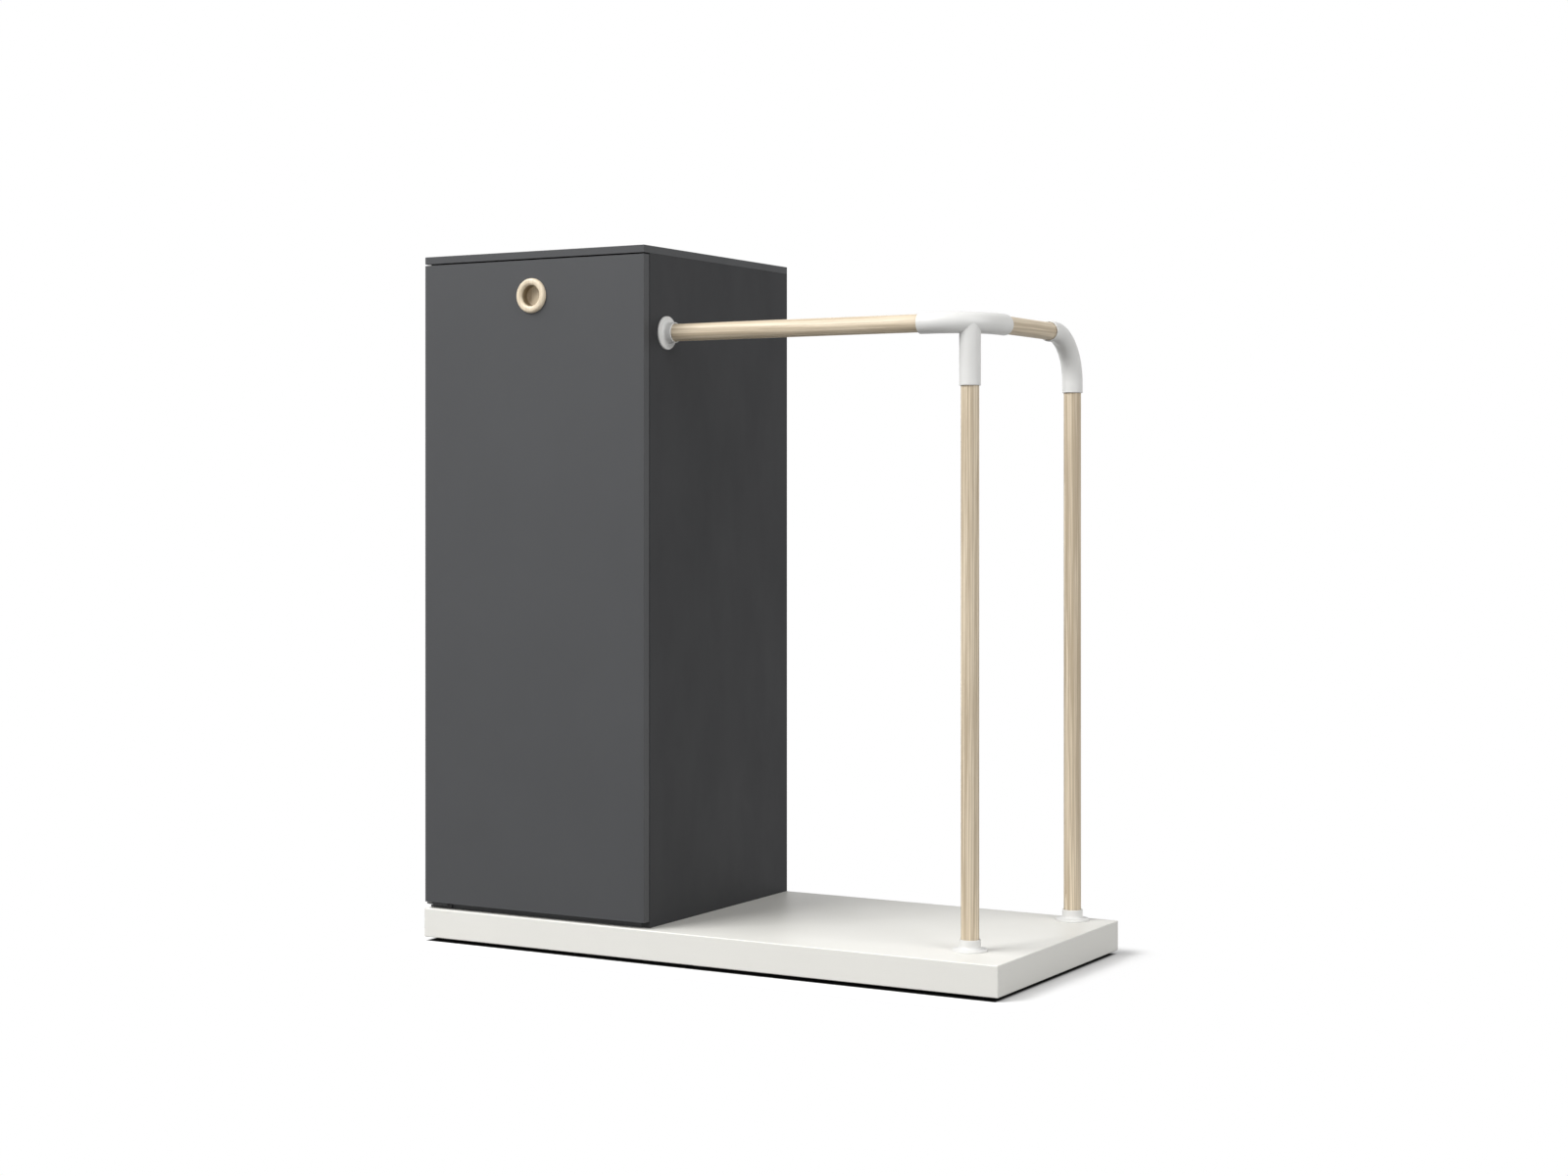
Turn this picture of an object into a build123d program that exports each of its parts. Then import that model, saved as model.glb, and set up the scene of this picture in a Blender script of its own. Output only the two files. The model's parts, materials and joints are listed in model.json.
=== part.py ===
from build123d import *
from collections import namedtuple
from math import cos, radians, sin
import os

# Wardrobe: a tall cupboard on a low platform, with an open coat rail beside it.
# Millimetres. X runs to the right along the front, Y to the back, Z up.
# The origin is on the floor, in the middle of the whole object's box.

ScrewSize = namedtuple("ScrewSize", "length diameter head")

# Platform
platform_length = 1210.0
platform_depth = 528.0
platform_thickness = 55.0
platform_board = 18.0
platform_round = 2.0
mitre = 45.0
rib_count = 3
glide_diameter = 38.0
glide_height = 7.0
glide_foot_round = 1.5
glide_top_round = 0.5
glide_entry = 2.0
block_clearance = 2.0

# Cupboard
cabinet_width = 500.0
cabinet_height = 1248.0
side_board = 18.0
top_board = 14.0
bottom_board = 18.0
back_board = 6.0
back_rabbet = 9.0
shelf_board = 18.0
shelf_count = 3
shelf_side_play = 1.0
shelf_setback = 12.0
shelf_back_play = 4.0
edge_round = 0.8

# Door
door_thickness = 18.0
door_setback = 3.0
door_top_gap = 2.5
door_bottom_gap = 12.0
door_standoff = 1.5
hinge_edge_round = 6.0

# Door pivots
pivot_diameter = 6.0
pivot_reach = 15.0
pivot_step = 1.0
pivot_cover = 4.0
pivot_margin = 1.0
bush_wall = 2.0
bush_length = 22.0
bush_end = 2.0
bush_lip = 2.0
bush_flange = 1.2
bush_flange_round = 0.4
bush_end_round = 0.6
bracket_length = 50.0
bracket_thickness = 2.5
bracket_margin = 1.0
bracket_lift = 0.2
bracket_foot = 6.0
bracket_round = 3.0
pin_head_lip = 2.0
pin_head_thickness = 1.5

# Ring pull
pull_diameter = 65.0
pull_opening = 39.0
pull_proud = 7.0
pull_wall = 4.0
pull_cup_floor = 3.5
pull_cup_round = 4.0
pull_back_round = 0.5
pull_flat = 1.5
pull_crown = 1.0
pull_drop = 83.5

# Magnet catch and stops
catch_length = 46.0
catch_width = 14.0
catch_depth = 22.0
catch_drop = 60.0
catch_round = 1.2
catch_screw_inset = 6.0
magnet_width = 8.0
magnet_proud = 0.4
magnet_wall = 12.0
magnet_back = 8.0
strike_width = 12.0
strike_thickness = 1.2
strike_round = 2.0
bumper_diameter = 8.0
bumper_round = 1.2
low_bumper = 60.0
high_bumper = 20.0

# Coat rail
dowel_diameter = 32.0
dowel_chamfer = 1.0
fitting_wall = 2.9
socket_shoulder = 2.0
socket_seat = 2.0
mouth_round = 1.2
mouth_chamfer = 0.3
mouth_relief = 0.8
mouth_relief_depth = 4.0
post_turn = 45.0
rail_setback = 76.0
rail_drop = 157.0
end_inset = 76.0
rear_inset = 38.0
corner_bend = 90.0
corner_socket = 20.0
stem_drop = 109.5
elbow_bend = 90.0
elbow_socket = 19.0
flange_diameter = 62.0
flange_thickness = 4.0
flange_height = 20.5
flange_floor = 3.0
flange_sweep = 5.0
flange_foot_round = 0.5
flange_rim_round = 2.2
flange_mouth_round = 1.0
flange_slope = 0.5
flange_flat = 3.0

# Carcass fixings
cam_diameter = 15.0
cam_depth = 12.5
cam_edge = 24.0
cam_row = 44.0
cam_slot_length = 8.0
cam_slot_width = 1.6
cam_slot_depth = 2.0
cam_bolt_diameter = 6.0
cam_bolt_thread = 1.0
cam_bolt_cover = 4.0
peg_diameter = 8.0
peg_length = 30.0
peg_cover = 5.0
peg_row_step = 32.0
pin_diameter = 5.0
pin_head_step = 1.0
pin_in_board = 8.0
pin_out = 9.0
pin_row_step = 32.0
pin_row_front = 37.0
pin_row_back = 60.0

# Screws
glide_screw_size = ScrewSize(length=28.0, diameter=4.0, head=8.0)
back_screw_size = ScrewSize(length=24.0, diameter=3.0, head=6.0)
bracket_screw_size = ScrewSize(length=18.0, diameter=3.0, head=5.6)
strike_screw_size = ScrewSize(length=13.0, diameter=3.0, head=5.0)
base_screw_cover = 4.0
base_screw_diameter = 4.5
base_screw_head = 9.0
base_screw_side = 70.0
base_screw_end = 100.0
back_screw_rows = 5
back_screw_end = 40.0
back_screw_spread = 75.0
bracket_screw_row = (10.0, 24.0)
catch_screw_grip = 12.0
catch_screw_diameter = 3.0
catch_screw_head = 5.6
end_screw_diameter = 6.0
end_screw_head = 12.0
end_screw_head_height = 4.0
end_screw_head_round = 1.2
end_screw_reach = 58.5
end_screw_drive = 2.3
end_screw_drive_depth = 2.5
washer_diameter = 22.0
washer_thickness = 1.5
set_screw_diameter = 4.0
set_screw_length = 8.0
set_screw_sunk = 0.6
set_screw_drive = 1.15
set_screw_drive_depth = 2.0
drive_share = 0.32
drive_depth_share = 0.62

# Clearances
slip = 0.1
hole_play = 0.05
running_play = 0.05
rest_gap = 0.3
tool_reach = 1.0
same_edge = 0.05
hex_sides = 6

# Levels and lines worked out from the sizes above
front_reach = max(pull_proud - door_setback, 0.0)
overall_depth = platform_depth + front_reach
left = -platform_length / 2
right = platform_length / 2
back = overall_depth / 2
platform_front = back - platform_depth
deck_top = glide_height + platform_thickness
deck_under = deck_top - platform_board
glide_block = end_inset - platform_board - washer_diameter / 2 - block_clearance

door_front = platform_front + door_setback
door_back = door_front + door_thickness
carcass_front = door_back + door_standoff
cabinet_right = left + cabinet_width
cabinet_middle = left + cabinet_width / 2
cabinet_top = deck_top + cabinet_height
panel_top = cabinet_top - top_board
floor_top = deck_top + bottom_board
inner_left = left + side_board
inner_right = cabinet_right - side_board
inner_back = back - back_board
door_top = panel_top - door_top_gap
door_bottom = deck_top + door_bottom_gap

bush_radius = pivot_diameter / 2 + bush_wall
bush_flange_radius = bush_radius + bush_lip
pivot_x = left + bush_flange_radius + pivot_margin
pivot_y = door_front + door_thickness / 2
pivot_shank = pivot_diameter + 2 * pivot_step
pivot_shank_length = top_board - pivot_cover
bracket_top = door_bottom - bush_flange - rest_gap
bracket_under = bracket_top - bracket_thickness

pull_z = cabinet_top - pull_drop
pull_cup_radius = pull_opening / 2 + pull_wall
catch_x = inner_right - catch_width / 2
catch_z = panel_top - catch_drop
magnet_front = door_back + strike_thickness + rest_gap

rail_y = door_front + rail_setback
rail_z = cabinet_top - rail_drop
end_x = right - end_inset
rear_y = back - rear_inset
bend_x = end_x - corner_bend
bend_y = rail_y + corner_bend
post_x = bend_x + corner_bend * cos(radians(post_turn))
post_y = bend_y - corner_bend * sin(radians(post_turn))

socket_radius = dowel_diameter / 2 + slip
mouth_radius = socket_radius + mouth_relief
fitting_radius = socket_radius + fitting_wall
stem_radius = fitting_radius - slip
core_radius = dowel_diameter / 2 - socket_shoulder
corner_mouth_x = bend_x - corner_socket
corner_mouth_y = bend_y + corner_socket
stem_mouth_z = rail_z - stem_drop
elbow_mouth_y = rear_y - elbow_bend - elbow_socket
elbow_mouth_z = rail_z - elbow_bend - elbow_socket

cam_bolt_grip = min(top_board, side_board) - cam_bolt_cover
peg_grip = min(top_board, side_board) - peg_cover
front_cam_y = carcass_front + cam_row
back_cam_y = inner_back - cam_row
front_peg_y = front_cam_y + peg_row_step
back_peg_y = back_cam_y - peg_row_step
front_pin_y = carcass_front + shelf_setback + pin_row_front
back_pin_y = inner_back - shelf_back_play - pin_row_back

base_screw_length = bottom_board + platform_board - base_screw_cover
base_screw_size = ScrewSize(base_screw_length, base_screw_diameter, base_screw_head)
catch_screw_size = ScrewSize(catch_width + catch_screw_grip, catch_screw_diameter, catch_screw_head)


def block(x0, x1, y0, y1, z0, z1):
    """Square-edged board between two corners."""
    middle = ((x0 + x1) / 2, (y0 + y1) / 2, (z0 + z1) / 2)
    return Pos(*middle) * Box(x1 - x0, y1 - y0, z1 - z0)


def place(at, direction):
    """Location whose own Z points along direction."""
    return Plane(origin=at, z_dir=direction).location


def rod(at, direction, length, diameter):
    """Round bar from at, along direction."""
    bar = Cylinder(diameter / 2, length, align=(Align.CENTER, Align.CENTER, Align.MIN))
    return place(at, direction) * bar


def turned(outline, radii):
    """Body of revolution about Z from a closed (radius, height) outline and its corner radii."""
    points = [(r, 0, h) for r, h in outline]
    return revolve(make_face(FilletPolyline(*points, radius=radii, close=True)), Axis.Z)


def screw(at, direction, size, play=0.0):
    """Countersunk screw: at is the middle of its head's face. With play it is the hole for it."""
    shank = size.diameter / 2 + play
    head = size.head / 2 + 2 * play
    end = size.length + 4 * play
    outline = [(0, 0), (head, 0), (shank, head - shank), (shank, end - size.diameter), (0, end)]
    body = turned(outline, [0] * len(outline))
    if not play:
        drive = RegularPolygon(size.diameter * drive_share, hex_sides)
        body -= extrude(drive, size.diameter * drive_depth_share)
    return place(at, direction) * body


def group(solids):
    """Identical loose pieces that share one node."""
    return Compound(children=[s.solid() for s in solids])


def rim_edges(shape, centre, radius):
    """Circular edges of one radius about one centre."""
    middle = Vector(*centre)
    rings = shape.edges().filter_by(GeomType.CIRCLE)
    return [e for e in rings if max(abs(e.radius - radius), (e.arc_center - middle).length) < same_edge]


# Platform: a deck and four aprons, mitred where they meet so that no joint shows on a face

def platform_outside():
    """The platform's outer shape with its edges rounded. Each board of it is trimmed to this."""
    body = block(left, right, platform_front, back, glide_height, deck_top)
    return fillet(body.edges(), platform_round)


def deck_slab():
    """Deck whose four edges slope in from its top face at the mitre angle."""
    top = Plane(origin=(0, platform_front + platform_depth / 2, deck_top), z_dir=(0, 0, -1))
    return extrude(top * Rectangle(platform_length, platform_depth), platform_board, taper=mitre)


def apron(corners):
    """Upright board with this plan, cut by the deck's sloping edges."""
    plan = make_face(Polyline(*[(x, y, glide_height) for x, y in corners], close=True))
    return (extrude(plan, platform_thickness) - deck_slab()) & platform_outside()


def platform_aprons():
    b = platform_board
    x0, x1, y0, y1 = left, right, platform_front, back
    return {
        "platform_front_apron": apron([(x0, y0), (x1, y0), (x1 - b, y0 + b), (x0 + b, y0 + b)]),
        "platform_back_apron": apron([(x0, y1), (x0 + b, y1 - b), (x1 - b, y1 - b), (x1, y1)]),
        "platform_left_apron": apron([(x0, y0), (x0 + b, y0 + b), (x0 + b, y1 - b), (x0, y1)]),
        "platform_right_apron": apron([(x1, y0), (x1, y1), (x1 - b, y1 - b), (x1 - b, y0 + b)]),
    }


def glide_places():
    """Middles of the glides: four corners and the middle of each long side."""
    inset = platform_board + glide_block / 2
    columns = (left + inset, 0.0, right - inset)
    rows = (platform_front + inset, back - inset)
    return [(x, y) for x in columns for y in rows]


def glide_block_piece(x, y):
    half = glide_block / 2
    body = block(x - half, x + half, y - half, y + half, glide_height, deck_under)
    return body - glide_screw(x, y, hole_play)


def glide_screw(x, y, play=0.0):
    return screw((x, y, glide_entry - play), (0, 0, 1), glide_screw_size, play)


def glide(x, y):
    r = glide_diameter / 2
    outline = [(0, 0), (r, 0), (r, glide_height), (0, glide_height)]
    body = Pos(x, y, 0) * turned(outline, [0, glide_foot_round, glide_top_round, 0])
    entry_width = glide_screw_size.head + 2 * hole_play
    entry = rod((x, y, -tool_reach), (0, 0, 1), glide_entry + tool_reach, entry_width)
    return body - [entry, glide_screw(x, y, hole_play)]


def platform_rib(x):
    """Cross rib under the deck. One that meets the middle glide blocks stops at them."""
    inset = platform_board
    if abs(x) < glide_block / 2 + platform_board / 2:
        inset += glide_block
    half = platform_board / 2
    return block(x - half, x + half, platform_front + inset, back - inset, glide_height, deck_under)


def rib_places():
    step = platform_length / (rib_count + 1)
    return [left + step * (n + 1) for n in range(rib_count)]


def base_screw_places():
    xs = (inner_left + base_screw_side, inner_right - base_screw_side)
    ys = (carcass_front + base_screw_end, inner_back - base_screw_end)
    return [(x, y) for x in xs for y in ys]


def base_screw(x, y, play=0.0):
    return screw((x, y, floor_top + play), (0, 0, -1), base_screw_size, play)


def end_screws():
    """Place, direction and board thickness of the long screw behind each flange."""
    return {
        "wall": ((inner_right, rail_y, rail_z), (1, 0, 0), side_board),
        "front": ((post_x, post_y, deck_under), (0, 0, 1), platform_board),
        "rear": ((end_x, rear_y, deck_under), (0, 0, 1), platform_board),
    }


def end_screw(which, play=0.0):
    """Long screw through board and flange into the end of a dowel, head outside its washer."""
    at, direction, board = end_screws()[which]
    under_head = washer_thickness + board + end_screw_reach
    start = Vector(*at) - Vector(*direction) * washer_thickness
    r = end_screw_diameter / 2
    if play:
        top = -end_screw_head_height
        outline = [(0, top), (r + play, top), (r + play, under_head - r), (0, under_head + tool_reach)]
        return place(start, direction) * turned(outline, [0] * len(outline))
    head = end_screw_head / 2
    outline = [(0, -end_screw_head_height), (head, -end_screw_head_height), (head, 0),
               (r, 0), (r, under_head - r), (0, under_head)]
    body = turned(outline, [0, end_screw_head_round, 0, 0, 0, 0])
    drive = extrude(RegularPolygon(end_screw_drive, hex_sides), end_screw_drive_depth)
    return place(start, direction) * (body - Pos(0, 0, -end_screw_head_height) * drive)


def end_washer(which):
    at, direction, _ = end_screws()[which]
    start = Vector(*at) - Vector(*direction) * washer_thickness
    return rod(start, direction, washer_thickness, washer_diameter) - end_screw(which, hole_play)


def platform_deck():
    holes = [base_screw(x, y, hole_play) for x, y in base_screw_places()]
    holes += [end_screw(which, hole_play) for which in ("front", "rear")]
    return (deck_slab() & platform_outside()) - holes


# Cupboard

def shelf_levels():
    """Underside of each shelf: the shelves share the inner height evenly."""
    clear = (panel_top - floor_top - shelf_count * shelf_board) / (shelf_count + 1)
    return [floor_top + clear * (n + 1) + shelf_board * n for n in range(shelf_count)]


def pin_places():
    """Place and outward direction of each shelf pin at the face of its side panel."""
    drop = pin_diameter / 2 + pin_head_step
    walls = ((inner_left, 1), (inner_right, -1))
    rows = (front_pin_y, back_pin_y)
    return [(x, y, level - drop, way) for level in shelf_levels() for x, way in walls for y in rows]


def pin_holes(face_x, way):
    """Rows of three holes for each pin of one side panel, so that a shelf can move a step."""
    holes = []
    for x, y, z, pin_way in pin_places():
        if pin_way == way:
            for step in (-pin_row_step, 0.0, pin_row_step):
                start = (face_x + way * tool_reach, y, z + step)
                depth = pin_in_board + tool_reach + 2 * slip
                holes.append(rod(start, (-way, 0, 0), depth, pin_diameter + 2 * hole_play))
    return holes


def shelf_pin(x, y, z, way):
    """Pin with a thicker head that carries the shelf and stops at the panel's face."""
    stem = rod((x, y, z), (-way, 0, 0), pin_in_board, pin_diameter)
    head = rod((x, y, z), (way, 0, 0), pin_out, pin_diameter + 2 * pin_head_step)
    return stem + head


def cam_places():
    """Middle of each cam's outer face, its way in, the way its bolt points, and its board."""
    cams = []
    for face, way in ((inner_left, 1), (inner_right, -1)):
        for y in (front_cam_y, back_cam_y):
            top = ((face, y, panel_top - cam_edge), (-way, 0, 0), (0, 0, 1), side_board)
            low = ((face + way * cam_edge, y, deck_top), (0, 0, 1), (-way, 0, 0), bottom_board)
            cams += [top, low]
    return cams


def cam_centre(cam):
    at, inward, _, board = cam
    return Vector(*at) + Vector(*inward) * (board / 2)


def cam_housing(cam):
    """Cam seen from its face: a drum with a cross slot, open on the side where the bolt enters."""
    at, inward, along, _ = cam
    drum = rod(at, inward, cam_depth, cam_diameter)
    slot = place(at, inward) * Box(cam_slot_length, cam_slot_width, 2 * cam_slot_depth)
    cross = place(at, inward) * Box(cam_slot_width, cam_slot_length, 2 * cam_slot_depth)
    bolt_way = rod(cam_centre(cam), along, cam_diameter, cam_bolt_diameter + cam_bolt_thread)
    return drum - [slot, cross, bolt_way]


def cam_bolt(cam, play=0.0):
    """Bolt from the cam's middle to its thread in the board it draws up."""
    along = cam[2]
    centre = cam_centre(cam)
    shank = rod(centre, along, cam_edge, cam_bolt_diameter + 2 * play)
    thread_at = centre + Vector(*along) * cam_edge
    thread_diameter = cam_bolt_diameter + cam_bolt_thread + 2 * play
    return shank + rod(thread_at, along, cam_bolt_grip + play, thread_diameter)


def cam_cut(cam):
    at, inward = cam[:2]
    return rod(at, inward, cam_depth + hole_play, cam_diameter + 2 * hole_play)


def peg_places():
    """Middle of the joint that each wooden peg crosses, and the way it points."""
    walls = ((left + side_board / 2, inner_left, -1), (cabinet_right - side_board / 2, inner_right, 1))
    pegs = []
    for x, face, way in walls:
        for y in (front_peg_y, back_peg_y):
            pegs.append(((x, y, panel_top), (0, 0, 1)))
            pegs.append(((face, y, deck_top + bottom_board / 2), (way, 0, 0)))
    return pegs


def peg(at, direction, play=0.0):
    start = Vector(*at) - Vector(*direction) * (peg_length - peg_grip + play)
    return rod(start, direction, peg_length + 2 * play, peg_diameter + 2 * play)


def carcass_cuts():
    """Everything that the joints of the carcass take out of its boards."""
    cams = cam_places()
    cuts = [cam_cut(c) for c in cams] + [cam_bolt(c, hole_play) for c in cams]
    return cuts + [peg(at, way, hole_play) for at, way in peg_places()]


def back_screw_places():
    """Rows up both side panels, and two screws into the bottom panel."""
    low = deck_top + back_screw_end
    rise = (panel_top - back_screw_end - low) / (back_screw_rows - 1)
    lap = (back_rabbet + side_board) / 2
    rows = [(x, low + rise * n) for x in (left + lap, cabinet_right - lap) for n in range(back_screw_rows)]
    bottom_z = deck_top + bottom_board / 2
    return rows + [(cabinet_middle + side * back_screw_spread, bottom_z) for side in (-1, 1)]


def back_screw(x, z, play=0.0):
    return screw((x, back + play, z), (0, -1, 0), back_screw_size, play)


def back_screw_holes():
    return [back_screw(x, z, hole_play) for x, z in back_screw_places()]


def side_panel(outer_x, inner_x, way):
    """Side panel with a rabbet for the back panel. way points from the panel into the cupboard."""
    low, high = min(outer_x, inner_x), max(outer_x, inner_x)
    board = block(low, high, carcass_front, back, deck_top, panel_top)
    upright = board.edges().filter_by(Axis.Z)
    board = fillet([e for e in upright if abs(e.center().X - outer_x) < edge_round], edge_round)
    x0, x1 = sorted((inner_x - way * back_rabbet, inner_x + way * tool_reach))
    rabbet = block(x0, x1, inner_back, back + tool_reach, deck_top - tool_reach, panel_top + tool_reach)
    return board - [rabbet] - carcass_cuts() - back_screw_holes() - pin_holes(inner_x, way)


def left_side_panel():
    return side_panel(left, inner_left, 1)


def right_side_panel():
    catch_holes = [catch_screw(z, hole_play) for z in catch_screw_levels()]
    return side_panel(cabinet_right, inner_right, -1) - catch_holes - end_screw("wall", hole_play)


def top_panel():
    board = block(left, cabinet_right, door_front, back, panel_top, cabinet_top)
    board = fillet(board.edges(), edge_round)
    return board - carcass_cuts() - top_pin_hole()


def bottom_panel():
    board = block(inner_left, inner_right, carcass_front, inner_back, deck_top, floor_top)
    holes = [base_screw(x, y, hole_play) for x, y in base_screw_places()]
    holes += [bracket_screw(x, hole_play) for x in bracket_screw_places()]
    return board - carcass_cuts() - holes - back_screw_holes()


def back_panel():
    x0 = inner_left - back_rabbet + slip
    x1 = inner_right + back_rabbet - slip
    return block(x0, x1, inner_back, back, deck_top, panel_top) - back_screw_holes()


def shelf(level):
    x0, x1 = inner_left + shelf_side_play, inner_right - shelf_side_play
    y0, y1 = carcass_front + shelf_setback, inner_back - shelf_back_play
    board = block(x0, x1, y0, y1, level, level + shelf_board)
    front_edges = [e for e in board.edges().filter_by(Axis.X) if e.center().Y < y0 + edge_round]
    return fillet(front_edges, edge_round)


# Door and what it turns on

def top_pin_hole():
    start = (pivot_x, pivot_y, panel_top - tool_reach)
    return rod(start, (0, 0, 1), pivot_shank_length + tool_reach, pivot_shank + 2 * hole_play)


def top_pivot_pin():
    """Stepped pin held in the top panel, its thin end in the door's upper bush."""
    at = (pivot_x, pivot_y, panel_top)
    shank = rod(at, (0, 0, 1), pivot_shank_length, pivot_shank)
    return shank + rod(at, (0, 0, -1), door_top_gap + pivot_reach, pivot_diameter)


def bush_cut(z, way):
    return rod((pivot_x, pivot_y, z), (0, 0, way), bush_length + slip, 2 * (bush_radius + hole_play))


def bush(z, way):
    """Flanged bush in an end of the door. way points into the door."""
    bore = pivot_diameter / 2 + running_play
    bottom = bush_length - bush_end
    outline = [(bore, -bush_flange), (bush_flange_radius, -bush_flange), (bush_flange_radius, 0),
               (bush_radius, 0), (bush_radius, bush_length), (0, bush_length), (0, bottom), (bore, bottom)]
    radii = [0, bush_flange_round, 0, 0, bush_end_round, 0, 0, 0]
    return place((pivot_x, pivot_y, z), (0, 0, way)) * turned(outline, radii)


def bracket_screw_places():
    return [inner_left + step for step in bracket_screw_row]


def bracket_screw(x, play=0.0):
    y = carcass_front - bracket_thickness
    z = (deck_top + bracket_under) / 2
    return screw((x, y - play, z), (0, 1, 0), bracket_screw_size, play)


def pivot_bracket():
    """Angle on the front edge of the carcass, with a foot that reaches under the door."""
    x0 = left + bracket_margin
    x1 = x0 + bracket_length
    upright_front = carcass_front - bracket_thickness
    foot = block(x0, x1, pivot_y - bracket_foot, carcass_front, bracket_under, bracket_top)
    upright = block(x0, x1, upright_front, carcass_front, deck_top + bracket_lift, bracket_top)
    corners = [e for e in foot.edges().filter_by(Axis.Z) if e.center().Y < pivot_y]
    angle = fillet(corners, bracket_round) + upright
    pin_width = pivot_diameter + 2 * hole_play
    pin_hole = rod((pivot_x, pivot_y, deck_top), (0, 0, 1), door_bottom - deck_top, pin_width)
    return angle - pin_hole - [bracket_screw(x, hole_play) for x in bracket_screw_places()]


def bottom_pivot_pin():
    """Pin through the bracket, with a round head below it."""
    at = (pivot_x, pivot_y, bracket_under)
    head = rod(at, (0, 0, -1), pin_head_thickness, pivot_diameter + 2 * pin_head_lip)
    return head + rod(at, (0, 0, 1), door_bottom - bracket_under + pivot_reach, pivot_diameter)


def door_panel():
    x0, x1 = left, cabinet_right
    outline = [(x0, door_front), (x1, door_front), (x1, door_back), (x0, door_back)]
    radii = [edge_round, edge_round, edge_round, hinge_edge_round]
    plan = make_face(FilletPolyline(*[(x, y, door_bottom) for x, y in outline], radius=radii, close=True))
    board = extrude(plan, door_top - door_bottom)
    cup_start = (cabinet_middle, door_front - tool_reach, pull_z)
    cup = rod(cup_start, (0, 1, 0), door_thickness + 2 * tool_reach, 2 * (pull_cup_radius + slip))
    strike_holes = [strike_screw(z, hole_play) for z in catch_screw_levels()]
    return board - [cup, bush_cut(door_top, -1), bush_cut(door_bottom, 1)] - strike_holes


def ring_pull():
    """Turned cup with a round bead that stands proud of the door around its mouth."""
    rim, mouth, cup = pull_diameter / 2, pull_opening / 2, pull_cup_radius
    bead = min(pull_proud - pull_flat, (rim - mouth - pull_crown) / 2)
    floor = door_thickness - pull_cup_floor
    outline = [(mouth, -pull_proud), (rim, -pull_proud), (rim, 0), (cup, 0),
               (cup, door_thickness), (0, door_thickness), (0, floor), (mouth, floor)]
    radii = [bead, bead, 0, 0, pull_back_round, 0, 0, pull_cup_round]
    return place((cabinet_middle, door_front, pull_z), (0, 1, 0)) * turned(outline, radii)


def catch_screw_levels():
    half = catch_length / 2 - catch_screw_inset
    return (catch_z - half, catch_z + half)


def catch_screw(z, play=0.0):
    y = magnet_front + catch_depth / 2
    return screw((inner_right - catch_width - play, y, z), (1, 0, 0), catch_screw_size, play)


def magnet_block(play=0.0):
    """Magnet in the front of the catch."""
    x = magnet_width / 2 + play
    z = catch_length / 2 - magnet_wall + play
    y1 = magnet_front + catch_depth - magnet_back + play
    return block(catch_x - x, catch_x + x, magnet_front, y1, catch_z - z, catch_z + z)


def magnet_catch():
    x0, x1 = inner_right - catch_width, inner_right
    y = magnet_front + magnet_proud
    z = catch_length / 2
    body = block(x0, x1, y, y + catch_depth, catch_z - z, catch_z + z)
    body = fillet([e for e in body.edges() if e.center().X < x0 + slip], catch_round)
    return body - magnet_block(hole_play) - [catch_screw(z, hole_play) for z in catch_screw_levels()]


def strike_screw(z, play=0.0):
    return screw((catch_x, door_back + strike_thickness + play, z), (0, -1, 0), strike_screw_size, play)


def strike_plate():
    x, z = strike_width / 2, catch_length / 2
    y1 = door_back + strike_thickness
    plate = block(catch_x - x, catch_x + x, door_back, y1, catch_z - z, catch_z + z)
    plate = fillet(plate.edges().filter_by(Axis.Y), strike_round)
    return plate - [strike_screw(z, hole_play) for z in catch_screw_levels()]


def door_bumper(z):
    """Soft stop between the carcass and the closed door."""
    x = cabinet_right - side_board / 2
    r = bumper_diameter / 2
    thick = door_standoff - rest_gap
    outline = [(0, 0), (r, 0), (r, thick), (0, thick)]
    return place((x, carcass_front, z), (0, -1, 0)) * turned(outline, [0, 0, min(bumper_round, thick / 2), 0])


# Coat rail

def flange(at, direction, which):
    """Round foot for a dowel: a thin disc that sweeps up into a short collar."""
    disc, collar, bore = flange_diameter / 2, fitting_radius, socket_radius
    step = flange_height - mouth_relief_depth
    outline = [(0, 0), (disc, 0), (disc, flange_thickness), (collar, flange_thickness + flange_slope),
               (collar, flange_height), (mouth_radius, flange_height), (mouth_radius, step),
               (bore, step), (bore, flange_floor), (0, flange_floor)]
    sweep = min(flange_sweep, disc - collar - flange_flat, flange_height - flange_thickness - flange_flat)
    rim = min(flange_rim_round, flange_thickness - flange_foot_round)
    radii = [0, flange_foot_round, rim, sweep, flange_mouth_round, flange_foot_round, 0, 0, 0, 0]
    return place(at, direction) * turned(outline, radii) - end_screw(which, hole_play)


def quarter_bend(centre, radius, tube_radius, start, about):
    """Quarter of a ring about centre. start is the way from centre to the bend's first end."""
    first = Vector(*centre) + Vector(*start) * radius
    heading = Vector(*about).cross(Vector(*start))
    section = Plane(origin=first, z_dir=heading) * Circle(tube_radius)
    return revolve(section, Axis(centre, about), 90)


def corner_solid(tube_radius, down_radius, reach, down_reach):
    """Rail end, bend and depth end in one level, with a stem down from the middle of the bend."""
    bend = quarter_bend((bend_x, bend_y, rail_z), corner_bend, tube_radius, (0, -1, 0), (0, 0, 1))
    rail_end = rod((bend_x, rail_y, rail_z), (-1, 0, 0), reach, 2 * tube_radius)
    depth_end = rod((end_x, bend_y, rail_z), (0, 1, 0), reach, 2 * tube_radius)
    stem = rod((post_x, post_y, rail_z), (0, 0, -1), down_reach, 2 * down_radius)
    return bend + rail_end + depth_end + stem


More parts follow.
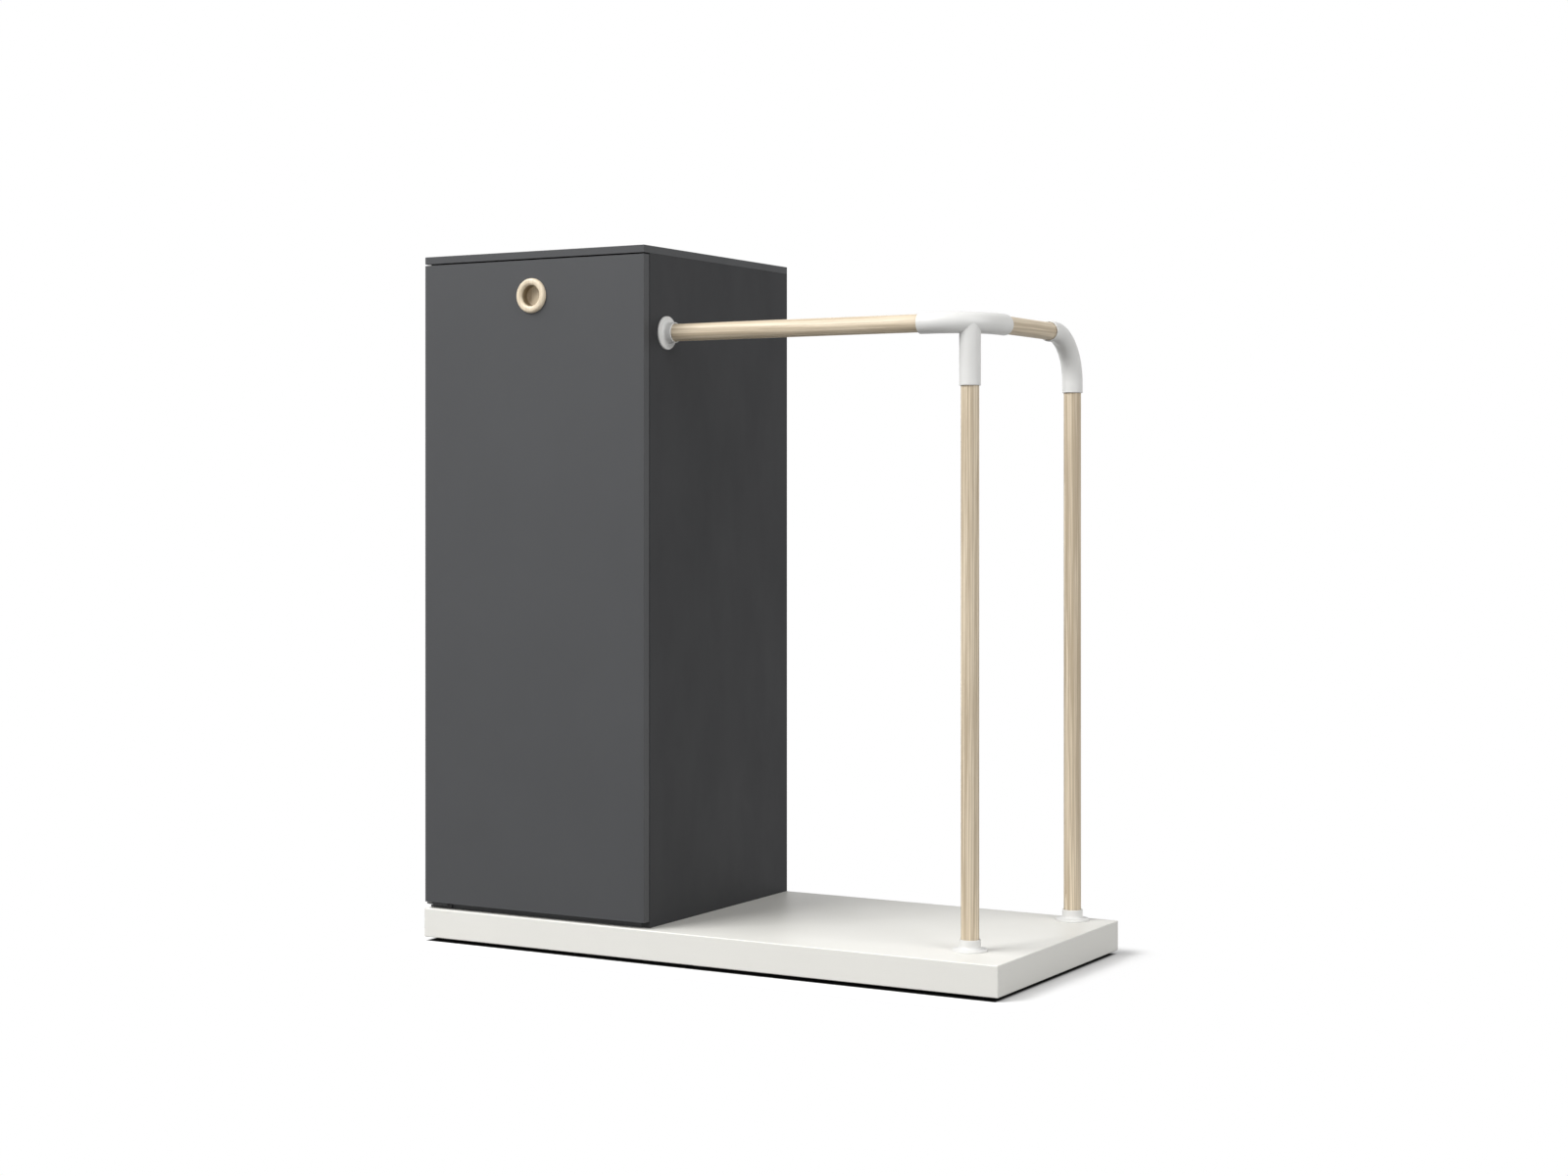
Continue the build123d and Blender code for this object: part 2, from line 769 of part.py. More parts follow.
def set_screws():
    """Place on the fitting's surface and way in of each grub screw, on the side away from the front."""
    side_x = end_x - fitting_radius
    aside, inward = sin(radians(post_turn)), cos(radians(post_turn))
    stem_z = stem_mouth_z + corner_socket / 2
    return [
        ((corner_mouth_x + corner_socket / 2, rail_y + fitting_radius, rail_z), (0, -1, 0)),
        ((side_x, corner_mouth_y - corner_socket / 2, rail_z), (1, 0, 0)),
        ((post_x - stem_radius * inward, post_y + stem_radius * aside, stem_z), (inward, -aside, 0)),
        ((side_x, elbow_mouth_y + elbow_socket / 2, rail_z), (1, 0, 0)),
        ((side_x, rear_y, elbow_mouth_z + elbow_socket / 2), (1, 0, 0)),
    ]


def set_screw(at, direction):
    """Grub screw with a hexagon socket, just below the fitting's surface."""
    start = Vector(*at) + Vector(*direction) * set_screw_sunk
    drive = extrude(RegularPolygon(set_screw_drive, hex_sides), set_screw_drive_depth)
    return rod(start, direction, set_screw_length, set_screw_diameter) - place(start, direction) * drive


def set_screw_holes():
    depth = tool_reach + set_screw_sunk + set_screw_length + hole_play
    width = set_screw_diameter + 2 * hole_play
    return [rod(Vector(*at) - Vector(*way) * tool_reach, way, depth, width) for at, way in set_screws()]


def round_mouth(fitting, mouth, outer):
    """Small lip round the outside of a socket's mouth, and a break on its inner edge."""
    fitting = fillet(rim_edges(fitting, mouth, outer), mouth_round)
    return chamfer(rim_edges(fitting, mouth, mouth_radius), mouth_chamfer)


def socket(mouth, inward, depth):
    """Hole for the end of a dowel, from just outside the mouth to its seat, wider at the mouth."""
    start = Vector(*mouth) - Vector(*inward) * tool_reach
    relief = rod(start, inward, mouth_relief_depth + tool_reach, 2 * mouth_radius)
    return relief + rod(start, inward, depth + tool_reach, 2 * socket_radius)


def corner_fitting():
    rail_mouth = (corner_mouth_x, rail_y, rail_z)
    depth_mouth = (end_x, corner_mouth_y, rail_z)
    stem_mouth = (post_x, post_y, stem_mouth_z)
    body = corner_solid(fitting_radius, stem_radius, corner_socket, stem_drop)
    core = corner_solid(core_radius, core_radius - slip, socket_seat, stem_drop - corner_socket)
    hold = corner_socket - socket_seat
    body -= [core, socket(rail_mouth, (1, 0, 0), hold), socket(depth_mouth, (0, -1, 0), hold),
             socket(stem_mouth, (0, 0, 1), corner_socket)]
    body = round_mouth(body, rail_mouth, fitting_radius)
    body = round_mouth(body, depth_mouth, fitting_radius)
    body = round_mouth(body, stem_mouth, stem_radius)
    return body - set_screw_holes()


def elbow_solid(tube_radius, reach):
    centre = (end_x, rear_y - elbow_bend, rail_z - elbow_bend)
    bend = quarter_bend(centre, elbow_bend, tube_radius, (0, 1, 0), (1, 0, 0))
    depth_end = rod((end_x, rear_y - elbow_bend, rail_z), (0, -1, 0), reach, 2 * tube_radius)
    post_end = rod((end_x, rear_y, rail_z - elbow_bend), (0, 0, -1), reach, 2 * tube_radius)
    return bend + depth_end + post_end


def elbow_fitting():
    depth_mouth = (end_x, elbow_mouth_y, rail_z)
    post_mouth = (end_x, rear_y, elbow_mouth_z)
    hold = elbow_socket - socket_seat
    body = elbow_solid(fitting_radius, elbow_socket)
    body -= [elbow_solid(core_radius, socket_seat), socket(depth_mouth, (0, 1, 0), hold),
             socket(post_mouth, (0, 0, 1), hold)]
    body = round_mouth(body, depth_mouth, fitting_radius)
    body = round_mouth(body, post_mouth, fitting_radius)
    return body - set_screw_holes()


def dowel(start, end):
    """Round wooden bar between two points, its ends broken a little."""
    span = Vector(*end) - Vector(*start)
    body = rod(start, span, span.length, dowel_diameter)
    body = chamfer(body.edges().filter_by(GeomType.CIRCLE), dowel_chamfer)
    long_screws = [end_screw(which, hole_play) for which in end_screws()]
    return body - set_screw_holes() - long_screws


def dowels():
    """The four bars, each from seat to seat."""
    hold = corner_socket - socket_seat
    elbow_hold = elbow_socket - socket_seat
    foot = deck_top + flange_floor
    rail_start = (cabinet_right + flange_floor, rail_y, rail_z)
    rail_end = (corner_mouth_x + hold, rail_y, rail_z)
    depth_start = (end_x, corner_mouth_y - hold, rail_z)
    depth_end = (end_x, elbow_mouth_y + elbow_hold, rail_z)
    return {
        "front_rail": dowel(rail_start, rail_end),
        "depth_rail": dowel(depth_start, depth_end),
        "front_post": dowel((post_x, post_y, foot), (post_x, post_y, stem_mouth_z + corner_socket)),
        "rear_post": dowel((end_x, rear_y, foot), (end_x, rear_y, elbow_mouth_z + elbow_hold)),
    }


# All pieces, by node name

def platform_pieces():
    made = {"platform_deck": platform_deck()}
    made.update(platform_aprons())
    for number, x in enumerate(rib_places(), 1):
        made[f"platform_rib_{number}"] = platform_rib(x)
    spots = glide_places()
    made["glide_blocks"] = group([glide_block_piece(x, y) for x, y in spots])
    made["glides"] = group([glide(x, y) for x, y in spots])
    made["glide_screws"] = group([glide_screw(x, y) for x, y in spots])
    made["base_screws"] = group([base_screw(x, y) for x, y in base_screw_places()])
    return made


def carcass_pieces():
    made = {
        "left_side_panel": left_side_panel(),
        "right_side_panel": right_side_panel(),
        "top_panel": top_panel(),
        "bottom_panel": bottom_panel(),
        "back_panel": back_panel(),
        "back_panel_screws": group([back_screw(x, z) for x, z in back_screw_places()]),
        "shelf_pins": group([shelf_pin(*spot) for spot in pin_places()]),
        "cam_housings": group([cam_housing(c) for c in cam_places()]),
        "cam_bolts": group([cam_bolt(c) for c in cam_places()]),
        "carcass_pegs": group([peg(at, way) for at, way in peg_places()]),
    }
    for number, level in enumerate(shelf_levels(), 1):
        made[f"shelf_{number}"] = shelf(level)
    return made


def door_pieces():
    bumper_levels = (door_bottom + low_bumper, door_top - high_bumper)
    return {
        "top_pivot_pin": top_pivot_pin(),
        "pivot_bracket": pivot_bracket(),
        "bottom_pivot_pin": bottom_pivot_pin(),
        "pivot_bracket_screws": group([bracket_screw(x) for x in bracket_screw_places()]),
        "magnet_catch": magnet_catch(),
        "catch_magnet": magnet_block(),
        "catch_screws": group([catch_screw(z) for z in catch_screw_levels()]),
        "door_bumpers": group([door_bumper(z) for z in bumper_levels]),
        "door_panel": door_panel(),
        "ring_pull": ring_pull(),
        "door_top_bush": bush(door_top, -1),
        "door_bottom_bush": bush(door_bottom, 1),
        "strike_plate": strike_plate(),
        "strike_screws": group([strike_screw(z) for z in catch_screw_levels()]),
    }


def rail_pieces():
    made = dowels()
    made["wall_flange"] = flange((cabinet_right, rail_y, rail_z), (1, 0, 0), "wall")
    made["front_foot_flange"] = flange((post_x, post_y, deck_top), (0, 0, 1), "front")
    made["rear_foot_flange"] = flange((end_x, rear_y, deck_top), (0, 0, 1), "rear")
    made["corner_fitting"] = corner_fitting()
    made["elbow_fitting"] = elbow_fitting()
    made["set_screws"] = group([set_screw(at, way) for at, way in set_screws()])
    made["rail_wall_screw"] = end_screw("wall")
    made["post_foot_screws"] = group([end_screw("front"), end_screw("rear")])
    made["end_washers"] = group([end_washer(which) for which in end_screws()])
    return made


os.makedirs("parts", exist_ok=True)
for pieces in (platform_pieces(), carcass_pieces(), door_pieces(), rail_pieces()):
    for node, shape in pieces.items():
        export_step(shape, f"parts/{node}.step")
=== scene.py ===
import json
import math

import bpy
import numpy as np
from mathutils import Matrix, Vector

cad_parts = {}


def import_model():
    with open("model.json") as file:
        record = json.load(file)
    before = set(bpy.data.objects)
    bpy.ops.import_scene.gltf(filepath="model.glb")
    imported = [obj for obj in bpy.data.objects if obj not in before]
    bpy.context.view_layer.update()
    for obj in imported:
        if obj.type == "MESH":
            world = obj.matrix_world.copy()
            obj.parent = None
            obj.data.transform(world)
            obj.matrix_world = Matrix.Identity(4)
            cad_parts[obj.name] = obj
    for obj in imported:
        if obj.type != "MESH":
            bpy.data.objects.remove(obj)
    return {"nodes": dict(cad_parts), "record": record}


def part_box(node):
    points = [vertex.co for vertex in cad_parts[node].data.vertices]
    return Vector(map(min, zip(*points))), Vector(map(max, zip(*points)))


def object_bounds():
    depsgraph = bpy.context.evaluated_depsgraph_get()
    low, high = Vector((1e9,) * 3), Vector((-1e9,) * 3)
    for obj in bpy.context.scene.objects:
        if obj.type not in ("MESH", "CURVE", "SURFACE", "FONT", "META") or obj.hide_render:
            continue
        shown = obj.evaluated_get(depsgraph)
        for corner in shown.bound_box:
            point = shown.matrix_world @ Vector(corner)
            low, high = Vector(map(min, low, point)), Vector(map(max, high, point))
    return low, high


# Wardrobe: dark lacquered cupboard and pale wooden coat rail on a white platform.
# Metres. X runs to the right along the front, Y to the back, Z up, floor at zero.

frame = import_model()
cad_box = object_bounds()

# Colours of the finishes, as linear light
GRAPHITE = (0.061, 0.0625, 0.0655)
# Painted shade: a darker copy of the graphite for the sides, standing in for the shade they lie in
GRAPHITE_SIDE_PAINTED_SHADE = (0.032, 0.0326, 0.0346)
WARM_WHITE = (0.790, 0.780, 0.737)
FITTING_WHITE = (0.705, 0.702, 0.685)
ASH_LIGHT = (0.750, 0.645, 0.492)
ASH_DARK = (0.440, 0.345, 0.230)
PULL_LIGHT = (0.740, 0.640, 0.485)
PULL_DARK = (0.580, 0.470, 0.330)
SOFTWOOD_LIGHT = (0.700, 0.540, 0.350)
SOFTWOOD_DARK = (0.520, 0.360, 0.200)
ZINC = (0.640, 0.645, 0.650)
NICKEL = (0.420, 0.410, 0.400)
BLACK_POWDER = (0.022, 0.022, 0.024)
BLACK_PLASTIC = (0.020, 0.020, 0.021)
BEARING_WHITE = (0.740, 0.740, 0.720)
SOFT_CLEAR = (0.620, 0.630, 0.640)

# Ring pull: the tints of painted shade that its wood is multiplied by, on the wall of its cup and at the
# bottom
CUP_WALL_PAINTED_SHADE = (0.36, 0.33, 0.27)
CUP_FLOOR_PAINTED_SHADE = (0.90, 0.88, 0.84)
# Ring pull: the radius of its cup, the width over which a tint comes in, and the depths below the crest
# of its bead where the wall has its full tint and where the bottom lies
CUP_RADIUS = 0.0200
CUP_FADE = 0.0030
CUP_DEPTH = 0.0070
CUP_BOTTOM = 0.0205

# Wood: the scale of a pattern along the bar, as a share of its scale across
GRAIN_ALONG = 0.035
FIBRE_ALONG = 0.020
PORE_ALONG = 0.050
# Wood: how far its rings wander, in widths of a ring, how late in a ring the dark wood comes, the share
# of the lean that goes to the other side, and where the streaks start, away from the fibres
RING_WANDER = 1.6
LATENESS = 2.2
LEAN_ASIDE = 0.6
STREAK_SHIFT = (0.3, 0.7, 0.2)

# Ash bars of the coat rail: the axis that each lies along, and where the middle of its tree lay
BARS = {
    "front_rail": (0, (0.1, -0.215, 1.20)),
    "depth_rail": (1, (0.575, 0.03, 1.115)),
    "front_post": (2, (0.45, -0.19, 0.6)),
    "rear_post": (2, (0.56, 0.27, 0.6)),
}
BAR_LEAN = 0.012
PULL_PITH = (-0.30, -0.25, 1.2)
SOFTWOOD_PITH = (0.3, 0.0, 0.05)

# The values that most of a noise lies between, and their middle
NOISE_LOW = 0.3
NOISE_HIGH = 0.7
NOISE_MIDDLE = 0.5

# Camera, at the photograph's viewing angle: it looks level, and the horizon lies above the picture's middle
IMAGE_WIDTH = 1600
FOCAL_PX = 2578.93
HORIZON_LIFT_PX = 91.64
SENSOR_MM = 36.0
CAMERA_AT = (2.4063, -4.1238, 0.8479)
CAMERA_TURN = math.radians(29.844)
QUARTER_TURN = math.radians(90)

# Floor: half its side, its roughness, and its colours to the camera, as painted shade under the object, and
# to other rays
FLOOR_HALF = 14.0
FLOOR_ROUGHNESS = 0.9
FLOOR_WHITE = (1.0, 1.0, 1.0)
FLOOR_UNDER_PAINTED_SHADE = (0.03, 0.03, 0.03)
FLOOR_BOUNCE = (0.25, 0.25, 0.25)
# Floor: how far out from the object's box the contact shadow has faded to plain white
SHADOW_REACH = 0.085
# Floor: how far inside the box its painted shade under the object begins, and where it is fully dark
UNDER_EDGE = 0.001
UNDER_DARK = 0.008

# Studio lamps: plan angle from the front towards the right, angle above level, distance, width, watts
LAMPS = {
    "left": (-62, 50, 7.0, 2.6, 155.0),
    "front_left": (-32, 43, 7.0, 3.2, 360.0),
    "right": (72, 25, 7.0, 4.0, 215.0),
    "front_low": (-20, 6, 7.0, 3.2, 35.0),
}
LAMPS_AIM = (0.0, 0.0, 0.5)
# World's light on the object: its strength from the front and from the back, and the Y of a direction,
# less than one, from which each holds. In between, the one goes over into the other.
SKY_FRONT = 0.44
SKY_BACK = 0.16
SKY_TURN = 0.5


class Finish:
    """A material's node tree, with short calls for the nodes that the finishes share."""

    def __init__(self, name, colour, roughness, metallic=0.0):
        self.material = bpy.data.materials.new(name)
        self.material.use_nodes = True
        self.material.diffuse_color = (*colour, 1.0)
        self.nodes = self.material.node_tree.nodes
        self.links = self.material.node_tree.links
        self.shader = self.nodes["Principled BSDF"]
        self.set(self.shader, "Base Color", (*colour, 1.0))
        self.set(self.shader, "Roughness", roughness)
        self.set(self.shader, "Metallic", metallic)
        self.place = self.add("ShaderNodeTexCoord").outputs["Object"]

    def add(self, kind, **settings):
        node = self.nodes.new(kind)
        for key, value in settings.items():
            setattr(node, key, value)
        return node

    def set(self, node, socket, value):
        """A plain number or colour goes on the socket, and another node's output is linked to it."""
        if isinstance(value, bpy.types.NodeSocket):
            self.links.new(value, node.inputs[socket])
        else:
            node.inputs[socket].default_value = value

    def stretched(self, scale, shift=(0, 0, 0)):
        """Object coordinates, scaled and then shifted."""
        node = self.add("ShaderNodeMapping", vector_type="POINT")
        self.set(node, "Vector", self.place)
        self.set(node, "Location", shift)
        self.set(node, "Scale", scale)
        return node.outputs["Vector"]

    def axes(self, vector):
        """X, Y and Z of a vector."""
        node = self.add("ShaderNodeSeparateXYZ")
        self.set(node, 0, vector)
        return node.outputs

    def noise(self, vector, scale, detail, rough, distortion=0.0):
        node = self.add("ShaderNodeTexNoise", noise_dimensions="3D")
        self.set(node, "Vector", vector)
        self.set(node, "Scale", scale)
        self.set(node, "Detail", detail)
        self.set(node, "Roughness", rough)
        self.set(node, "Distortion", distortion)
        return node.outputs["Fac"]

    def math(self, operation, a, b=0.0):
        node = self.add("ShaderNodeMath", operation=operation)
        self.set(node, 0, a)
        self.set(node, 1, b)
        return node.outputs[0]

    def length(self, x, y):
        """Root of the sum of the squares of x and y."""
        squares = [self.math("MULTIPLY", side, side) for side in (x, y)]
        return self.math("SQRT", self.math("ADD", *squares))

    def span(self, value, low, high, to_low=0.0, to_high=1.0):
        """Value from low to high, carried over to to_low to to_high, held at its ends."""
        node = self.add("ShaderNodeMapRange", clamp=True)
        for socket, number in (("Value", value), ("From Min", low), ("From Max", high),
                               ("To Min", to_low), ("To Max", to_high)):
            self.set(node, socket, number)
        return node.outputs["Result"]

    def spread(self, noise, to_low=0.0, to_high=1.0):
        """The values that most of a noise lies between, carried over to to_low to to_high."""
        return self.span(noise, NOISE_LOW, NOISE_HIGH, to_low, to_high)

    def mix(self, share, first, second, blend="MIX"):
        node = self.add("ShaderNodeMix", data_type="RGBA", blend_type=blend)
        self.set(node, 0, share)
        self.set(node, 6, (*first, 1.0) if isinstance(first, tuple) else first)
        self.set(node, 7, (*second, 1.0) if isinstance(second, tuple) else second)
        return node.outputs[2]

    def bump(self, height, depth, strength, onto=None):
        """Relief of a depth in metres, on top of another relief where onto gives one."""
        node = self.add("ShaderNodeBump")
        self.set(node, "Strength", strength)
        self.set(node, "Distance", depth)
        self.set(node, "Height", height)
        if onto is not None:
            self.set(node, "Normal", onto)
        return node.outputs["Normal"]


def shade(colour, factor):
    """A colour made lighter or darker, at most white."""
    return tuple(min(1.0, c * factor) for c in colour)


def drawn_out(along, share):
    """Scale that draws a pattern out along one axis."""
    scale = [1.0, 1.0, 1.0]
    scale[along] = share
    return tuple(scale)


def lacquer(name, colour, roughness, gloss, peel=0.00002, mottle=0.03):
    """Sprayed lacquer on board: orange peel of depth peel over a longer wave, clouds that differ in tone
    by mottle, small darker specks, and rubbed patches in its sheen."""
    f = Finish(name, colour, roughness)
    f.set(f.shader, "Specular IOR Level", gloss)
    cloud = f.noise(f.place, scale=4.0, detail=4.0, rough=0.6)
    speck = f.noise(f.place, scale=420.0, detail=2.0, rough=0.5)
    tone = f.mix(f.spread(cloud), shade(colour, 1 - mottle), shade(colour, 1 + mottle))
    tone = f.mix(f.span(speck, low=0.60, high=0.75, to_high=0.25), tone, shade(colour, 0.82))
    f.set(f.shader, "Base Color", tone)
    rub = f.noise(f.stretched(drawn_out(2, 0.4)), scale=9.0, detail=5.0, rough=0.65)
    f.set(f.shader, "Roughness", f.spread(rub, roughness - 0.05, roughness + 0.06))
    orange_peel = f.noise(f.place, scale=950.0, detail=1.5, rough=0.4)
    wave = f.noise(f.place, scale=60.0, detail=2.0, rough=0.5)
    swell = f.bump(wave, depth=3 * peel, strength=0.25)
    f.set(f.shader, "Normal", f.bump(orange_peel, depth=peel, strength=0.6, onto=swell))
    return f.material


def timber(name, light, dark, along, pith, lean, ring=0.0042, roughness=0.52, fibre=1.0):
    """Straight-grained wood, as its Finish and its tone: rings as wide as ring, which darken outwards,
    each with streaks, fibres and pores drawn out along the bar. along is the bar's axis, 0, 1 or 2. pith
    is where the middle of the tree lay. lean is how far the bar was sawn across it, in radians, which
    draws out the arches. fibre is the strength of the streaks and fibres."""
    f = Finish(name, light, roughness)
    turn = {0: (0, QUARTER_TURN, 0), 1: (QUARTER_TURN, 0, 0), 2: (0, 0, 0)}[along]
    long_way = f.stretched(drawn_out(along, GRAIN_ALONG))
    wander = f.noise(long_way, scale=55.0, detail=3.0, rough=0.55)
    trunk = f.add("ShaderNodeMapping", vector_type="TEXTURE")
    f.set(trunk, "Vector", f.place)
    f.set(trunk, "Location", pith)
    f.set(trunk, "Rotation", (turn[0] + lean, turn[1] + lean * LEAN_ASIDE, turn[2]))
    x, y, _ = f.axes(trunk.outputs["Vector"])
    stray = f.math("MULTIPLY", f.math("SUBTRACT", wander, NOISE_MIDDLE), ring * RING_WANDER)
    turns = f.math("FRACT", f.math("DIVIDE", f.math("ADD", f.length(x, y), stray), ring))
    late = f.math("POWER", turns, LATENESS)
    season = f.noise(long_way, scale=16.0, detail=2.0, rough=0.5)
    grain = f.math("MULTIPLY", late, f.span(season, low=0.25, high=0.75, to_low=0.35))
    fibre_scale = drawn_out(along, FIBRE_ALONG)
    fine = f.noise(f.stretched(fibre_scale), scale=620.0, detail=3.0, rough=0.6)
    streak = f.noise(f.stretched(fibre_scale, STREAK_SHIFT), scale=150.0, detail=4.0, rough=0.60)
    pores = f.noise(f.stretched(drawn_out(along, PORE_ALONG)), scale=2300.0, detail=1.0, rough=0.5)
    early = f.span(turns, low=0.0, high=0.35, to_low=1.0, to_high=0.25)
    dash = f.math("MULTIPLY", f.span(pores, low=0.66, high=0.74), early)
    broad = f.noise(long_way, scale=7.0, detail=2.0, rough=0.5)
    tone = f.mix(grain, light, dark)
    tone = f.mix(f.span(streak, low=0.44, high=0.60, to_high=0.80 * fibre), tone, shade(dark, 0.92))
    tone = f.mix(f.span(fine, low=0.35, high=0.68, to_high=0.12 * fibre), tone, shade(dark, 0.95))
    tone = f.mix(f.math("MULTIPLY", dash, 0.16), tone, shade(dark, 0.7))
    tone = f.mix(f.spread(broad, to_high=0.30), tone, shade(light, 0.90))
    f.set(f.shader, "Base Color", tone)
    f.set(f.shader, "Roughness", f.span(grain, 0.0, 1.0, roughness + 0.04, roughness - 0.08))
    ridge = f.bump(fine, depth=0.00002, strength=0.20)
    f.set(f.shader, "Normal", f.bump(dash, depth=0.00003, strength=0.25, onto=ridge))
    return f, tone


def bar_timber(node, along, pith):
    """Pale ash of one bar of the coat rail."""
    f, _ = timber("ash " + node.replace("_", " "), ASH_LIGHT, ASH_DARK, along, pith, BAR_LEAN)
    return f.material


def softwood():
    """Plain softwood of the platform's ribs and blocks and of the cupboard's pegs."""
    f, _ = timber("plain softwood", SOFTWOOD_LIGHT, SOFTWOOD_DARK, along=1, pith=SOFTWOOD_PITH, lean=0.05,
                  ring=0.006, roughness=0.7)
    return f.material


def turned_cup():
    """Turned ash of the ring pull, with painted shade that makes it darker and browner the deeper it lies
    inside the cup.
    """
    low, high = (np.array(corner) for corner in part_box("ring_pull"))
    middle = (low + high) / 2
    front = low[1]
    f, tone = timber("turned ash", PULL_LIGHT, PULL_DARK, along=2, pith=PULL_PITH, lean=0.06,
                     ring=0.0035, roughness=0.42, fibre=0.8)
    across = f.add("ShaderNodeVectorMath", operation="DISTANCE")
    f.set(across, 0, f.stretched((1.0, 0.0, 1.0)))
    f.set(across, 1, (middle[0], 0.0, middle[2]))
    depth = f.axes(f.place)[1]
    # Painted shade: inside the cup the wood is tinted darker by depth, on the wall and at the bottom
    inside = f.span(across.outputs["Value"], CUP_RADIUS, CUP_RADIUS + CUP_FADE, to_low=1.0, to_high=0.0)
    deep = f.span(depth, front + CUP_FADE, front + CUP_DEPTH)
    bottom = f.span(depth, front + CUP_BOTTOM - CUP_FADE, front + CUP_BOTTOM)
    shaded = f.mix(1.0, tone, f.mix(bottom, CUP_WALL_PAINTED_SHADE, CUP_FLOOR_PAINTED_SHADE), "MULTIPLY")
    f.set(f.shader, "Base Color", f.mix(f.math("MULTIPLY", inside, deep), tone, shaded))
    return f.material


def moulding(name, colour, roughness=0.38, grain=0.00002):
    """Moulded plastic: an etched grain of depth grain over faint sink marks, flow marks and a soft sheen."""
    f = Finish(name, colour, roughness)
    flow = f.noise(f.place, scale=14.0, detail=3.0, rough=0.5, distortion=0.6)
    f.set(f.shader, "Base Color", f.mix(f.spread(flow), shade(colour, 0.975), shade(colour, 1.02)))
    f.set(f.shader, "Roughness", f.spread(flow, roughness - 0.03, roughness + 0.05))
    etched = f.noise(f.place, scale=1400.0, detail=2.0, rough=0.6)
    sink = f.noise(f.place, scale=38.0, detail=1.0, rough=0.4)
    hollow = f.bump(sink, depth=4 * grain, strength=0.3)
    f.set(f.shader, "Normal", f.bump(etched, depth=grain, strength=0.5, onto=hollow))
    return f.material


def plated(name, colour, roughness=0.32):
    """Plated or drawn metal: fine lines from the tool, with clouded plating."""
    f = Finish(name, colour, roughness, metallic=1.0)
    cloud = f.noise(f.place, scale=90.0, detail=4.0, rough=0.6)
    f.set(f.shader, "Base Color", f.mix(f.spread(cloud), shade(colour, 0.86), colour))
    f.set(f.shader, "Roughness", f.spread(cloud, roughness - 0.07, roughness + 0.1))
    drawn = f.noise(f.stretched(drawn_out(2, 0.15)), scale=2600.0, detail=2.0, rough=0.6)
    f.set(f.shader, "Normal", f.bump(drawn, depth=0.00001, strength=0.5))
    return f.material


def powder_coat(name, colour):
    """Powder coat: a pebbled skin."""
    f = Finish(name, colour, roughness=0.5)
    pebble = f.noise(f.place, scale=1100.0, detail=3.0, rough=0.55)
    light = f.span(pebble, low=0.35, high=0.65)
    f.set(f.shader, "Base Color", f.mix(light, shade(colour, 0.85), shade(colour, 1.2)))
    f.set(f.shader, "Normal", f.bump(pebble, depth=0.00004, strength=0.6))
    return f.material


def assign(node, material):
    """Gives a CAD node its finish, in every slot that its mesh has."""
    obj = frame["nodes"][node]
    if not obj.material_slots:
        obj.data.materials.append(material)
    for one in obj.material_slots:
        one.material = material


def slot_nodes(slot):
    """CAD nodes that the record paints with this slot."""
    return [s["node"] for s in frame["record"]["subparts"] if s["material_slot"] == slot]


# Finishes, by the record's material slots
finishes = {
    "graphite_board": lacquer("graphite lacquer", GRAPHITE, roughness=0.50, gloss=0.25),
    "white_board": lacquer("warm white lacquer", WARM_WHITE, roughness=0.42, gloss=0.28,
                           peel=0.000015, mottle=0.012),
    "frame_wood": softwood(),
    "pull_wood": turned_cup(),
    "white_moulding": moulding("white moulding", FITTING_WHITE),
    "black_plastic": moulding("black plastic", BLACK_PLASTIC, roughness=0.5, grain=0.00004),
    "white_plastic": moulding("bearing plastic", BEARING_WHITE, roughness=0.45),
    "steel": plated("zinc plate", ZINC),
    "black_steel": powder_coat("black powder coat", BLACK_POWDER),
    "magnet": plated("nickel plate", NICKEL, roughness=0.25),
    "clear_rubber": moulding("clear soft rubber", SOFT_CLEAR, roughness=0.3),
}
for slot, material in finishes.items():
    for node in slot_nodes(slot):
        assign(node, material)

# The sides take a darker tone of the lacquer as painted shade, and each bar has its own grain
# Painted shade: the side panels get the darker copy of the graphite lacquer
graphite_side_painted_shade = lacquer("graphite lacquer with painted shade on the sides", GRAPHITE_SIDE_PAINTED_SHADE, roughness=0.55, gloss=0.16)
for node in ("left_side_panel", "right_side_panel"):
    assign(node, graphite_side_painted_shade)
for node, (along, pith) in BARS.items():
    assign(node, bar_timber(node, along, pith))


def camera():
    """Level camera, shifted down so that the horizon lies above the picture's middle."""
    data = bpy.data.cameras.new("camera")
    data.sensor_width = SENSOR_MM
    data.lens = SENSOR_MM * FOCAL_PX / IMAGE_WIDTH
    data.shift_y = -HORIZON_LIFT_PX / IMAGE_WIDTH
    obj = bpy.data.objects.new("camera", data)
    obj.location = CAMERA_AT
    obj.rotation_euler = (QUARTER_TURN, 0.0, CAMERA_TURN)
    bpy.context.scene.collection.objects.link(obj)
    bpy.context.scene.camera = obj


def studio_lamp(name, turn, height, distance, width, watts):
    """Square lamp that faces the object from the given angles."""
    data = bpy.data.lights.new(name, "AREA")
    data.shape = "SQUARE"
    data.size = width
    data.energy = watts
    obj = bpy.data.objects.new(name, data)
    turn, height = math.radians(turn), math.radians(height)
    level = math.cos(height)
    way = np.array([math.sin(turn) * level, -math.cos(turn) * level, math.sin(height)])
    obj.location = np.array(LAMPS_AIM) + way * distance
    obj.rotation_euler = (QUARTER_TURN - height, 0.0, turn)
    bpy.context.scene.collection.objects.link(obj)


